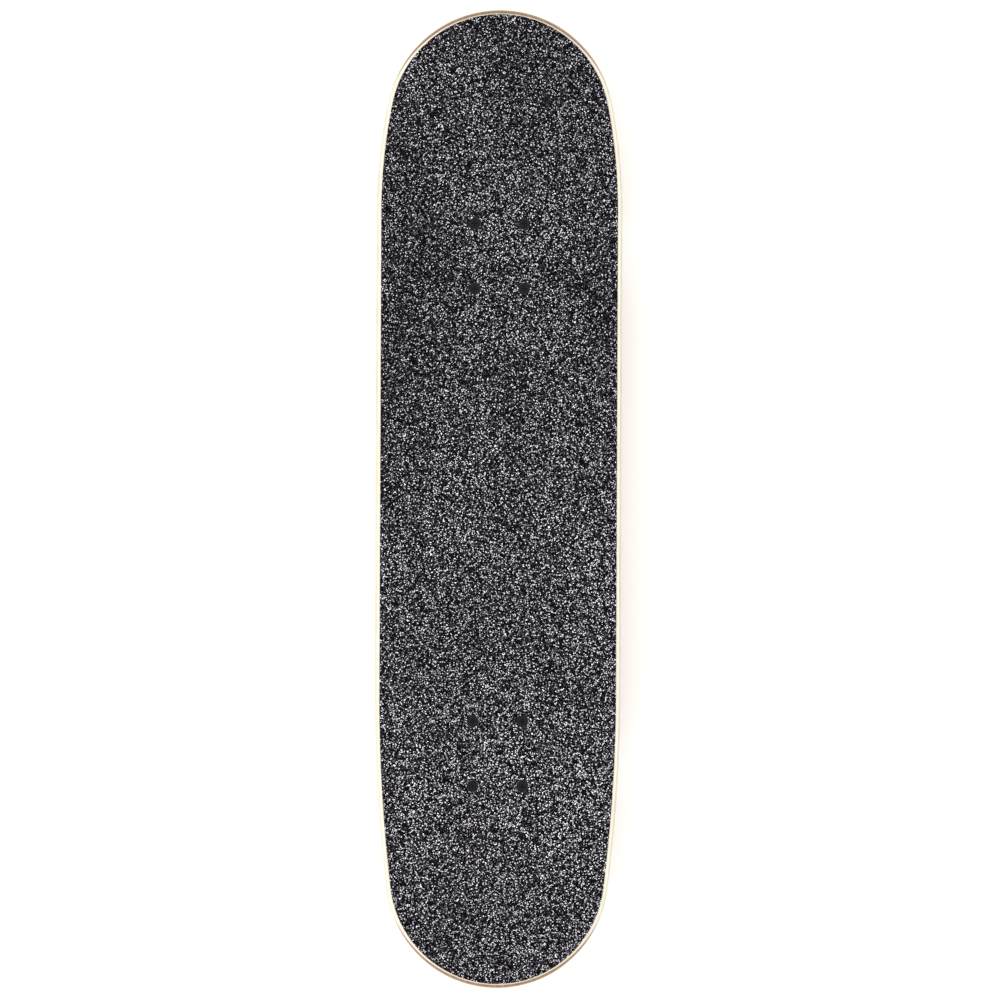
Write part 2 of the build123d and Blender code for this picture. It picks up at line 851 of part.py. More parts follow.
truck_pieces = {
    "baseplate": baseplate,
    "pivot_cup": pivot_cup,
    "kingpin": kingpin,
    "kingpin_nut": kingpin_nut,
    "boardside_washer": boardside_washer,
    "roadside_washer": roadside_washer,
    "boardside_bushing": boardside_bushing,
    "roadside_bushing": roadside_bushing,
    "mounting_bolts": mounting_bolts,
    "mounting_nuts": mounting_nuts,
    "hanger": hanger,
    "axle": axle,
    "axle_nuts": axle_nuts,
    "speed_washers": speed_washers,
    "bearing_spacers": bearing_spacers,
    "bearing_inner_rings": bearing_inner_rings,
}
wheel_pieces = {
    "wheel": wheel,
    "bearing_outer_rings": bearing_outer_rings,
    "bearing_shields": bearing_shields,
    "bearing_cages": bearing_cages,
    "bearing_balls": bearing_balls,
}
half_turn_axis = Axis((0, axle_out, 0), (0, 0, 1))
wheel_sides = {"front": ("right", "left"), "rear": ("left", "right")}

for end, frame in truck_frames.items():
    for name, piece in truck_pieces.items():
        with BuildPart() as placed:
            add(piece.part.moved(frame.location))
        write(placed, f"{end}_{name}")
    for turn, side in zip((0, 180), wheel_sides[end]):
        for name, piece in wheel_pieces.items():
            with BuildPart() as placed:
                add(piece.part.rotate(half_turn_axis, turn).moved(frame.location))
            write(placed, f"{end}_{side}_{name}")
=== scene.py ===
"""The looks of a skateboard: a gritted maple deck on cast trucks and urethane wheels.

Everything is in metres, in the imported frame: +Z up, +Y towards the nose, and the origin on
the ground under the middle of the board.
"""

import math

import bpy
from bpy.props import FloatProperty, FloatVectorProperty, PointerProperty
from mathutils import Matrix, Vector


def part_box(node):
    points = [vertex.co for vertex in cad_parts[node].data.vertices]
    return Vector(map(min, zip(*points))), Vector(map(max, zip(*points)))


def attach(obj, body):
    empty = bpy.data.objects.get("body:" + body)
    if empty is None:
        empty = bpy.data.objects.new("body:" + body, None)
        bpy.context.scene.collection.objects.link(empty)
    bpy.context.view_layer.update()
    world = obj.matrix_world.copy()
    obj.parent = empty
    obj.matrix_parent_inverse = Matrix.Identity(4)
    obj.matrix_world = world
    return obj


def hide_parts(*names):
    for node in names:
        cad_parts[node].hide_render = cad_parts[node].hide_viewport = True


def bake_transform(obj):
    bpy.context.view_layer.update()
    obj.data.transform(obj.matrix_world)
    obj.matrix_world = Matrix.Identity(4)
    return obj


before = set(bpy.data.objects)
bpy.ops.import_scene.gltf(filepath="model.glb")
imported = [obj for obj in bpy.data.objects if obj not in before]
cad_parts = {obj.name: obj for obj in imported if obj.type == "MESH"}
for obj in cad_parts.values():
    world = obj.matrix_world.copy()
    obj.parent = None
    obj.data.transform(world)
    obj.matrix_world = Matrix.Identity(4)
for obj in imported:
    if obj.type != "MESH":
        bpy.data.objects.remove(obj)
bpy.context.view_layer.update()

bl_info = {
    "name": "Skateboard",
    "version": (1, 0, 0),
    "blender": (4, 5, 0),
    "location": "3D View > Sidebar > Skateboard",
    "description": "Dresses a packed skateboard: grip, maple, castings, bushings, wheels and a plain stage",
    "category": "Add Mesh",
}

MM = 0.001
MERGE = 0.001 * MM  # points closer than this are one
RIM_SPACING = 3 * MM  # between points along the deck's outline
RING_CROWDING = 1.5  # how much the rings of faces gather at the rim
ENDS = ("front", "rear")
SIDES = ("left", "right")

# The deck's plan and height, read from its plies
DECK_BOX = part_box("deck_ply_4_core")
HALF_WIDTH = DECK_BOX[1][0]
HALF_LENGTH = DECK_BOX[1][1]
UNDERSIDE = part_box("deck_ply_7_bottom")[0][2]
DRILL_LENGTH = 40 * MM  # reaches through the deck wherever a bolt stands
DRILL_MIDDLE = UNDERSIDE + 6 * MM  # about half way through the deck
PLIES = (
    "deck_ply_1_top",
    "deck_ply_2_long_grain",
    "deck_ply_3_cross_grain",
    "deck_ply_4_core",
    "deck_ply_5_cross_grain",
    "deck_ply_6_long_grain",
    "deck_ply_7_bottom",
)

# Softboxes that face the board: name, place, side of the square and power in watts
SOFTBOXES = (
    ("overhead_softbox", (0.0, 0.0, 3.0), 3.0, 60.0),
    ("side_softbox", (-2.2, -1.2, 2.0), 1.2, 25.0),
)


def linear(code):
    """A linear colour from an sRGB hex code."""
    shares = [int(code[i : i + 2], 16) / 255 for i in (1, 3, 5)]
    return [c / 12.92 if c <= 0.04045 else ((c + 0.055) / 1.055) ** 2.4 for c in shares] + [1.0]


def colour(label, words, code):
    """A colour setting with its default as a hex code."""
    return FloatVectorProperty(
        name=label, description=words, subtype="COLOR", size=4, min=0, max=1, default=linear(code)
    )


def length(label, words, default):
    """A length setting, in metres."""
    return FloatProperty(name=label, description=words, unit="LENGTH", min=0, default=default)


def angle(label, words, degrees):
    """An angle setting, given in degrees."""
    return FloatProperty(name=label, description=words, unit="ROTATION", default=math.radians(degrees))


# ------------------------------------------------------------------- settings


class DeckSettings(bpy.types.PropertyGroup):
    """The pressed shape that every ply and the grip sheet share."""

    ply: length("Ply", "Thickness of one ply", 1.57 * MM)
    edge_round: length("Edge round", "Radius of the deck's rounded edge", 3.2 * MM)
    nose_tip: length("Nose tip radius", "Radius of the nose's end", 94.5 * MM)
    nose_flank: length("Nose flank radius", "Radius from the nose's end to the side", 440 * MM)
    tail_tip: length("Tail tip radius", "Radius of the tail's end", 92.3 * MM)
    tail_flank: length("Tail flank radius", "Radius from the tail's end to the side", 1290 * MM)
    nose_kick: angle("Nose kick", "Rise of the nose", 21)
    tail_kick: angle("Tail kick", "Rise of the tail", 20)
    nose_start: length("Nose start", "Distance from the middle to the nose's bend", 250.63 * MM)
    tail_start: length("Tail start", "Distance from the middle to the tail's bend", 260.13 * MM)
    bend: length("Kick bend", "Length over which a kick bends up", 60 * MM)
    concave_middle: length("Concave", "Rise of the sides between the trucks", 8.5 * MM)
    concave_end: length("Concave at the kicks", "Rise of the sides on the nose and tail", 3 * MM)
    concave_fade: length("Concave fade", "Length over which the concave flattens out", 100 * MM)
    concave_power: FloatProperty(name="Concave power", description="How late the sides rise", default=3.5)
    bolt_head: length("Bolt head", "Radius of a mounting bolt's head", 4.85 * MM)
    head_hole: length("Head hole", "Radius of the bolt holes in the top ply", 4.88 * MM)
    taper_hole: length("Taper hole", "Radius of the bolt holes in the second ply", 3.44 * MM)
    shank_hole: length("Shank hole", "Radius of the bolt holes in the other plies", 2.68 * MM)


class GripSettings(bpy.types.PropertyGroup):
    """The abrasive sheet on top of the deck."""

    thickness: length("Thickness", "Thickness of the grip sheet", 0.9 * MM)
    inset: length("Inset", "Wood left showing round the sheet", 3.6 * MM)
    hole: length("Hole", "Radius of the hole round a bolt head", 4.95 * MM)
    grit: length("Grit size", "Width of one speck of grit, drawn coarse", 0.65 * MM)
    # The five grain tones hold painted light: the valley is black resin deepened with painted shade, the
    # shaded grain is painted shade, the bright grain is painted light and the glint is a painted highlight;
    # only the grain tone is the grit's own colour
    dark: colour("Valley", "Black resin between the grains", "#050406")
    shade: colour("Shaded grain", "Grains turned away from the light", "#080709")
    body: colour("Grain", "Silicon carbide grains seen flat on", "#19171B")
    bright: colour("Bright grain", "Grains turned to the light", "#545158")
    painted_glint: colour("Glint", "Facets that flash", "#FBFAFF")


class MapleSettings(bpy.types.PropertyGroup):
    """The pressed maple plies."""

    face: colour("Face veneer", "Sliced hard maple under lacquer", "#DDBE93")
    figure: colour("Figure", "Darker growth lines in the maple", "#C09A6C")
    side: colour("Side grain", "Sanded edge cut along its fibres", "#DCD6C6")
    side_figure: colour("Side grain line", "Darker fibres in the sanded edge", "#C9BFA8")
    end: colour("End grain", "Ply edge cut across its fibres", "#6B4F3B")
    end_pale: colour("Pale end grain", "End grain of a paler veneer", "#98795F")
    glue: colour("Glue line", "Dark glue squeezed out between two plies", "#6F6450")
    fibre: length("Fibre width", "Width of one grain streak", 1.1 * MM)


class TruckSettings(bpy.types.PropertyGroup):
    """The cast and turned metal of the trucks, and their soft parts."""

    casting: colour("Casting", "Tumbled A356 aluminium", "#C9CACC")
    zinc: colour("Zinc plate", "Clear zinc on turned steel", "#B9BCC0")
    black: colour("Black oxide", "Blackened screws and nuts", "#111012")
    ground: colour("Ground steel", "Bearing races and balls", "#C4C6CA")
    bushing: colour("Bushing", "Cast amber urethane", "#D9A24A")
    cup: colour("Pivot cup", "Black urethane", "#1A1A1B")
    casting_cell: length("Casting detail", "Cell of the mesh that rounds the castings", 0.7 * MM)
    bushing_cell: length("Bushing detail", "Cell of the mesh that rounds the bushings", 0.6 * MM)
    cup_cell: length("Cup detail", "Cell of the mesh that rounds the pivot cups", 0.4 * MM)
    lean: angle("Kingpin lean", "Lean of a kingpin outwards from upright", 20)
    ring_reach: length("Ring reach", "From the board-side washer to the hanger ring's middle", 17.75 * MM)
    ring_half: length("Ring half height", "From the hanger ring's middle to its faces", 3 * MM)
    board_bushing: length("Board-side bushing", "From the ring's middle to its far face", 17 * MM)
    road_bushing: length("Road-side bushing", "From the ring's middle to its far face", 13 * MM)


class WheelSettings(bpy.types.PropertyGroup):
    """The urethane wheels and the bearings' soft parts."""

    urethane: colour("Urethane", "Cast off-white urethane", "#ECE7DA")
    dirt: colour("Road dirt", "Grey dirt worked into the tread", "#8C8577")
    shield: colour("Shield", "Moulded rubber bearing shield", "#222326")
    cage: colour("Cage", "Moulded nylon ball cage", "#D8D4C6")


class StageSettings(bpy.types.PropertyGroup):
    """Floor, lights and camera."""

    camera_place: FloatVectorProperty(
        name="Camera place",
        description="Where the camera stands over the board",
        subtype="TRANSLATION",
        unit="LENGTH",
        size=3,
        default=(0.00125, -0.00056, 6.99),
    )
    camera_lens: FloatProperty(
        name="Lens", description="Focal length on a 36 mm sensor", unit="CAMERA", default=299.5
    )
    camera_roll: FloatProperty(
        name="Roll", description="Turn of the camera about its own axis", unit="ROTATION", default=0.00412
    )
    floor: colour("Floor", "Plain pale floor", "#F4F4F4")
    floor_size: length("Floor size", "Side of the square floor", 12)


SETTINGS = {
    "skate_deck": DeckSettings,
    "skate_grip": GripSettings,
    "skate_maple": MapleSettings,
    "skate_truck": TruckSettings,
    "skate_wheel": WheelSettings,
    "skate_stage": StageSettings,
}


# ------------------------------------------------------------------ materials


def add_node(tree, kind, inputs=None, **settings):
    """Add a node with its settings, and give its inputs values or links from other nodes' outputs."""
    node = tree.nodes.new(kind)
    for name, value in settings.items():
        setattr(node, name, value)
    for key, value in (inputs or {}).items():
        if isinstance(value, bpy.types.NodeSocket):
            tree.links.new(value, node.inputs[key])
        else:
            node.inputs[key].default_value = value
    return node


def new_material(name, **constants):
    """An empty material with its shader, whose constant inputs are set by name with spaces as underscores."""
    material = bpy.data.materials.new(name)
    material.use_nodes = True
    tree = material.node_tree
    tree.nodes.clear()
    shader = add_node(
        tree,
        "ShaderNodeBsdfPrincipled",
        {key.replace("_", " "): value for key, value in constants.items()},
    )
    add_node(tree, "ShaderNodeOutputMaterial", {"Surface": shader.outputs[0]})
    return material, tree, shader


def ramp(tree, factor, stops):
    """A colour ramp with stops of position and linear colour."""
    node = add_node(tree, "ShaderNodeValToRGB", {"Fac": factor})
    elements = node.color_ramp.elements
    while len(elements) > 1:
        elements.remove(elements[0])
    elements[0].position, elements[0].color = stops[0]
    for position, shade in stops[1:]:
        elements.new(position).color = shade
    return node.outputs["Color"]


def place(tree, scale):
    """Object coordinates, scaled along each axis: a scale of 1000 makes one unit a millimetre."""
    coordinates = add_node(tree, "ShaderNodeTexCoord").outputs["Object"]
    return add_node(tree, "ShaderNodeMapping", {"Vector": coordinates, "Scale": scale}).outputs[0]


def axes(tree, kind):
    """The X, Y and Z of a surface point's place ("Object") or direction ("Normal")."""
    vector = add_node(tree, "ShaderNodeTexCoord").outputs[kind]
    return add_node(tree, "ShaderNodeSeparateXYZ", {"Vector": vector}).outputs


def noise(tree, scale, detail, roughness=0.5, distortion=0.0):
    """Cloudy noise over the scaled object coordinates, round a half."""
    inputs = {"Scale": 1.0, "Detail": detail, "Roughness": roughness, "Distortion": distortion}
    return add_node(tree, "ShaderNodeTexNoise", {"Vector": place(tree, scale), **inputs}).outputs[0]


def arithmetic(tree, operation, *terms):
    """The result of one operation on values."""
    return add_node(tree, "ShaderNodeMath", dict(enumerate(terms)), operation=operation).outputs[0]


def span(tree, value, start, stop, low=0.0, high=1.0, **settings):
    """A value that goes from low to high while another goes from start to stop."""
    inputs = {"Value": value, "From Min": start, "From Max": stop, "To Min": low, "To Max": high}
    return add_node(tree, "ShaderNodeMapRange", inputs, **settings).outputs[0]


def mix(tree, factor, first, second, how="MIX"):
    """Two colours laid over each other."""
    inputs = {"Factor": factor, "A": first, "B": second}
    node = add_node(tree, "ShaderNodeMix", inputs, data_type="RGBA", blend_type=how)
    return node.outputs["Result"]


def relief(tree, shader, strength, depth, height):
    """Give a surface fine relief of a depth in metres."""
    bump = add_node(
        tree, "ShaderNodeBump", {"Strength": strength, "Distance": depth, "Height": height}
    )
    tree.links.new(bump.outputs[0], shader.inputs["Normal"])


def grip_material(look):
    """Silicon carbide grit in black resin on paper: matt and dark, with painted glints and painted light on
    single grains and painted shade on others.

    The real grit is about 0.3 mm; it is drawn coarser, or it would blur to a flat grey.
    """
    material, tree, shader = new_material(
        "silicon_carbide_grip", Specular_IOR_Level=0.04, Roughness=0.95
    )
    cells = 1 / look.grit
    grains = add_node(
        tree,
        "ShaderNodeTexVoronoi",
        {"Vector": place(tree, (cells, cells, cells)), "Scale": 1.0, "Randomness": 1.0},
    )
    # Broad, faint wear in patches where feet rub the sheet, and painted light that makes the sheet a little
    # paler all over behind the nose
    patches = span(tree, noise(tree, (9, 5, 9), 3.0, 0.6), 0.3, 0.7, -0.03, 0.01)
    painted_light_behind_nose = span(tree, axes(tree, "Object")["Y"], 0.3, -0.1, 0.0, 0.025)
    wear_and_painted_light = arithmetic(tree, "ADD", patches, painted_light_behind_nose)
    grain_light_and_relief = add_node(tree, "ShaderNodeSeparateColor", {"Color": grains.outputs["Color"]})
    lit = arithmetic(tree, "ADD", grain_light_and_relief.outputs[0], wear_and_painted_light)
    # Each grain's random value picks a tone: painted shade, the grit's own colour, painted light or a painted
    # glint; the gloss is kept low, so the painted glints stand in for real ones
    shade = ramp(
        tree,
        lit,
        [
            (0.25, look.dark),
            (0.56, look.shade),
            (0.755, look.body),
            (0.895, look.bright),
            (1.0, look.painted_glint),
        ],
    )
    tree.links.new(shade, shader.inputs["Base Color"])
    relief(tree, shader, 0.6, 0.3 * MM, grain_light_and_relief.outputs[1])
    return material


def maple_material(name, look, along, end, tone=1.0, pale=False):
    """Hard maple under lacquer: pale and streaked along its fibres, brown where the cut crosses them."""
    material, tree, shader = new_material(name, Coat_Weight=0.25, Coat_Roughness=0.2)
    across, lengthwise = 1 / look.fibre, 0.04 / look.fibre
    # Little change with height, or the streaks would turn across the fibres where the kicks climb
    scale = (across, lengthwise, 0.08 * across) if along == "Y" else (lengthwise, across, across)
    streaks = noise(tree, scale, 4.0, 0.6)
    figure = noise(tree, tuple(share * 0.06 for share in scale), 2.0, distortion=0.6)
    shades = (look.side, look.side_figure) if pale else (look.face, look.figure)
    figured = arithmetic(tree, "MULTIPLY", streaks, figure)
    face = ramp(tree, figured, [(0.12, shades[0]), (0.42, shades[1])])
    edge = ramp(tree, streaks, [(0.35, look.side), (0.75, look.side_figure)])
    end_grain = ramp(tree, streaks, [(0.4, end), (1.0, look.figure)])
    direction = axes(tree, "Normal")
    fibre_slope = 0.0
    if along == "Y":
        # The fibres climb with the nose and tail, so the end grain starts higher on the rounded edge
        spot = axes(tree, "Object")["Y"]
        nose_slope = span(tree, spot, 0.255, 0.31, 0.0, 0.38)
        tail_slope = span(tree, spot, -0.265, -0.32, 0.0, -0.36)
        fibre_slope = arithmetic(tree, "ADD", nose_slope, tail_slope)
    crossing = arithmetic(tree, "MULTIPLY_ADD", direction["Z"], fibre_slope, direction[along])
    crossing = arithmetic(tree, "ABSOLUTE", crossing)
    crossing = span(tree, crossing, 0.3, 0.55, interpolation_type="SMOOTHSTEP")
    upright = arithmetic(tree, "ABSOLUTE", direction["Z"])
    upright = span(tree, upright, 0.97, 0.85)
    wood = mix(tree, upright, face, edge)
    wood = mix(tree, crossing, wood, end_grain)
    wood = mix(tree, 1.0, wood, (tone, tone, tone, 1.0), "MULTIPLY")
    # Dark glue between two plies, where the sheet's own attribute marks the seam
    seam = add_node(tree, "ShaderNodeAttribute", attribute_name="glue_line").outputs["Fac"]
    wood = mix(tree, span(tree, seam, 0.35, 0.9, 0.0, 0.75), wood, look.glue)
    tree.links.new(wood, shader.inputs["Base Color"])
    tree.links.new(span(tree, streaks, 0.0, 1.0, 0.42, 0.6), shader.inputs["Roughness"])
    relief(tree, shader, 0.25, 0.1 * MM, streaks)
    return material


def speckled_material(name, tint, metallic, rough, grain, depth, contrast=0.12, soil=None, **constants):
    """A plain finish broken up by noise: its colour, gloss and surface vary over a grain in metres.

    The contrast says how far the dark specks go towards the soil's colour, or towards black.
    """
    material, tree, shader = new_material(name, Metallic=metallic, **constants)
    speckle = noise(tree, (1 / grain,) * 3, 5.0, 0.65)
    soil = soil or (0, 0, 0)
    dark = [clean + (dirty - clean) * contrast for clean, dirty in zip(tint[:3], soil[:3])] + [1.0]
    tree.links.new(ramp(tree, speckle, [(0.3, dark), (0.7, tint)]), shader.inputs["Base Color"])
    gloss = span(tree, speckle, 0.0, 1.0, rough - 0.08, rough + 0.1)
    tree.links.new(gloss, shader.inputs["Roughness"])
    relief(tree, shader, 0.5, depth, speckle)
    return material


def dress(node, material):
    """Give a CAD node its finished material."""
    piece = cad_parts[node]
    piece.data.materials.clear()
    piece.data.materials.append(material)


# -------------------------------------------------------------- deck's shape


def kick_rise(deck, past, rise):
    """Height gained by a kick at a distance past the start of its bend."""
    slope, share = math.tan(rise), past / deck.bend
    if share <= 0:
        return 0.0
    if share < 1:
        return slope * deck.bend * (share**3 - share**4 / 2)
    return slope * (past - deck.bend / 2)


def deck_height(deck, x, y):
    """Height of the wood's top face over a point in plan."""
    past = max(y - deck.nose_start, -deck.tail_start - y, 0)
    share = min(past / deck.concave_fade, 1)
    fade = share**2 * (3 - 2 * share)
    concave = deck.concave_middle + (deck.concave_end - deck.concave_middle) * fade
    kicks = kick_rise(deck, y - deck.nose_start, deck.nose_kick)
    kicks += kick_rise(deck, -deck.tail_start - y, deck.tail_kick)
    top = UNDERSIDE + len(PLIES) * deck.ply
    return top + kicks + concave * (abs(x) / HALF_WIDTH) ** deck.concave_power


def deck_slope(deck, x, y):
    """Slope of the top face along x and along y."""
    step = 0.05 * MM
    along_x = deck_height(deck, x + step, y) - deck_height(deck, x - step, y)
    along_y = deck_height(deck, x, y + step) - deck_height(deck, x, y - step)
    return along_x / (2 * step), along_y / (2 * step)


def deck_point(deck, x, y, depth):
    """The point over a place in plan that lies a depth under the top face, square to it."""
    slope_x, slope_y = deck_slope(deck, x, y)
    drop = depth * math.sqrt(1 + slope_x**2 + slope_y**2)
    return x, y, deck_height(deck, x, y) - drop


def half_outline(deck, spacing):
    """The right side of the plan from tail to nose, as x, y, the outward direction's x and y, and a y.

    The last is where on the centre line the rings of a sheet shrink to from there.
    """
    stations = []
    for end, tip, flank in ((-1, deck.tail_tip, deck.tail_flank), (1, deck.nose_tip, deck.nose_flank)):
        tip_y = HALF_LENGTH - tip
        across = flank - HALF_WIDTH
        flank_y = tip_y - math.sqrt((flank - tip) ** 2 - across**2)
        turn = math.atan2(tip_y - flank_y, across)
        run = []
        count = math.ceil((math.pi / 2 - turn) * tip / spacing)
        for i in range(count):
            swing = math.pi / 2 - (math.pi / 2 - turn) * i / count
            run.append(((tip * math.cos(swing), tip_y + tip * math.sin(swing)), swing, tip_y))
        count = math.ceil(turn * flank / spacing)
        for i in range(count):
            swing = turn - turn * i / count
            spot = (HALF_WIDTH - flank + flank * math.cos(swing), flank_y + flank * math.sin(swing))
            run.append((spot, swing, min(spot[1], tip_y)))
        run.append(((HALF_WIDTH, flank_y), 0.0, flank_y))
        stations.append(
            [
                (x, end * y, math.cos(swing), end * math.sin(swing), end * spine)
                for (x, y), swing, spine in run
            ]
        )
    tail, nose = stations
    start, stop = tail[-1][1], nose[-1][1]
    count = math.ceil((stop - start) / spacing)
    middle = [start + (stop - start) * i / count for i in range(1, count)]
    side = [(HALF_WIDTH, y, 1.0, 0.0, y) for y in middle]
    return tail + side + nose[::-1]


def rim_inset(deck, slope, depth):
    """How far the rounded edge stands in at a depth, where the top face meets it at a slope."""
    whole, radius = len(PLIES) * deck.ply, deck.edge_round
    inset = 0.0
    for lean, gap in ((slope, depth), (-slope, whole - depth)):
        square = math.sqrt(1 + lean**2)
        if gap < radius * (1 + lean / square):
            gap = max(gap, 0)
            reach = math.sqrt(max(radius**2 - (radius - gap) ** 2, 0))
            inset = max(inset, radius + (lean * (radius - gap) - reach) / square)
    return inset


def deselect():
    bpy.ops.object.select_all(action="DESELECT")


def sheet(name, deck, top, bottom, rings, edges, inset=None):
    """A sheet pressed to the deck's shape between two depths, in rings from its rim to its middle."""
    right = half_outline(deck, RIM_SPACING)
    loop = right + [(-x, y, -out_x, out_y, spine) for x, y, out_x, out_y, spine in right[::-1]]
    loop.append(loop[0])
    shares = [1 - (1 - i / rings) ** RING_CROWDING for i in range(rings, -1, -1)]
    profile = [(top, share) for share in shares]
    profile += [(top + (bottom - top) * i / edges, 0.0) for i in range(1, edges)]
    profile += [(bottom, share) for share in shares[::-1]]
    deselect()
    bpy.ops.mesh.primitive_grid_add(x_subdivisions=len(loop) - 1, y_subdivisions=len(profile) - 1)
    piece = bpy.context.object
    piece.name = name
    spots = []
    for depth, share in profile:
        for x, y, out_x, out_y, spine in loop:
            slope_x, slope_y = deck_slope(deck, x, y)
            slope = slope_x * out_x + slope_y * out_y
            back = rim_inset(deck, slope, depth) if inset is None else inset
            rim_x, rim_y = x - out_x * back, y - out_y * back
            spots.extend(deck_point(deck, rim_x * (1 - share), rim_y + (spine - rim_y) * share, depth))
    piece.data.vertices.foreach_set("co", spots)
    # Glue lies at the rim of each face that meets another ply
    glue = piece.data.attributes.new("glue_line", "FLOAT", "POINT")
    seams = {depth for depth in (top, bottom) if 0 < depth < (len(PLIES) - 0.1) * deck.ply}
    marks = [float(share == 0 and depth in seams) for depth, share in profile for _ in loop]
    glue.data.foreach_set("value", marks)
    bpy.ops.object.mode_set(mode="EDIT")
    bpy.ops.mesh.select_all(action="SELECT")
    bpy.ops.mesh.remove_doubles(threshold=MERGE)
    bpy.ops.mesh.normals_make_consistent(inside=False)
    bpy.ops.object.mode_set(mode="OBJECT")
    return piece


def bolt_places(deck):
    """Where the eight mounting bolts stand in plan."""
    places = []
    for end in ENDS:
        low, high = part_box(f"{end}_mounting_bolts")
        for x in (low[0] + deck.bolt_head, high[0] - deck.bolt_head):
            for y in (low[1] + deck.bolt_head, high[1] - deck.bolt_head):
                places.append((x, y))
    return places


def bore(piece, deck, radius):
    """Cut the eight bolt holes through a sheet."""
    deselect()
    drills = []
    for x, y in bolt_places(deck):
        bpy.ops.mesh.primitive_cylinder_add(
            vertices=48, radius=radius, depth=DRILL_LENGTH, location=(x, y, DRILL_MIDDLE)
        )
        drills.append(bpy.context.object)
    for drill in drills:
        drill.select_set(True)
    bpy.ops.object.join()
    drill = bpy.context.object
    deselect()
    bpy.context.view_layer.objects.active = piece
    cut = piece.modifiers.new("bolt_holes", "BOOLEAN")
    cut.operation, cut.solver, cut.object = "DIFFERENCE", "EXACT", drill
    bpy.ops.object.modifier_apply(modifier=cut.name)
    bpy.data.objects.remove(drill)


def smooth(piece, degrees=35):
    """Shade a piece smooth but for edges sharper than an angle."""
    deselect()
    piece.select_set(True)
    bpy.context.view_layer.objects.active = piece
    bpy.ops.object.shade_smooth_by_angle(angle=math.radians(degrees))


def settle(piece, node, body, material):
    """Let a finished piece ride on a body in place of a CAD node, with its material."""
    piece.data.materials.clear()
    piece.data.materials.append(material)
    if body:
        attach(piece, body)
    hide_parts(node)


def softened_copy(node, name, cell, passes):
    """A copy of a CAD node with one closed skin of small even faces and its corners rounded."""
    deselect()
    piece = bpy.data.objects.new(name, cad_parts[node].data.copy())
    bpy.context.collection.objects.link(piece)
    piece.select_set(True)
    bpy.context.view_layer.objects.active = piece
    bpy.ops.object.mode_set(mode="EDIT")
    bpy.ops.mesh.select_all(action="SELECT")
    bpy.ops.mesh.remove_doubles(threshold=MERGE)
    bpy.ops.object.mode_set(mode="OBJECT")
    skin = piece.modifiers.new("skin", "REMESH")
    skin.mode, skin.voxel_size, skin.use_smooth_shade = "VOXEL", cell, True
    ease = piece.modifiers.new("ease", "SMOOTH")
    ease.factor, ease.iterations = 0.5, passes
    for modifier in (skin.name, ease.name):
        bpy.ops.object.modifier_apply(modifier=modifier)
    bpy.ops.object.shade_smooth()
    return piece


# ------------------------------------------------------------------ operators


class SKATE_OT_grip(bpy.types.Operator):
    """Press the grip sheet onto the deck"""

    bl_idname = "skate.grip"
    bl_label = "Grip"

    def execute(self, context):
        look, deck = context.scene.skate_grip, context.scene.skate_deck
        piece = sheet("gritted_sheet", deck, -look.thickness, 0.0, rings=26, edges=3, inset=look.inset)
        bore(piece, deck, look.hole)
        smooth(piece)
        settle(piece, "grip_tape", "board", grip_material(look))
        return {"FINISHED"}


class SKATE_OT_deck(bpy.types.Operator):
    """Press the seven plies"""

    bl_idname = "skate.deck"
    bl_label = "Deck"

    def execute(self, context):
        look, deck = context.scene.skate_maple, context.scene.skate_deck
        top = maple_material("maple_top_veneer", look, "Y", look.end, pale=True)
        face = maple_material("maple_bottom_veneer", look, "Y", look.end)
        core = maple_material("maple_core_veneer", look, "Y", look.end_pale, 0.97)
        cross = maple_material("maple_cross_veneer", look, "X", look.end, 0.94)
        finishes = {
            "deck_ply_1_top": (top, "maple_face"),
            "deck_ply_3_cross_grain": (cross, "maple_cross"),
            "deck_ply_5_cross_grain": (cross, "maple_cross"),
            "deck_ply_7_bottom": (face, "maple_face"),
        }
        holes = [deck.head_hole, deck.taper_hole] + [deck.shank_hole] * (len(PLIES) - 2)
        for i, (node, hole) in enumerate(zip(PLIES, holes)):
            # The faces of the inner plies are hidden, so they need fewer rings
            rings = 20 if node in (PLIES[0], PLIES[-1]) else 8
            piece = sheet(f"veneer_{i + 1}", deck, i * deck.ply, (i + 1) * deck.ply, rings, edges=5)
            bore(piece, deck, hole)
            smooth(piece)
            material, slot = finishes.get(node, (core, "maple_core"))
            settle(piece, node, "board", material)
        return {"FINISHED"}


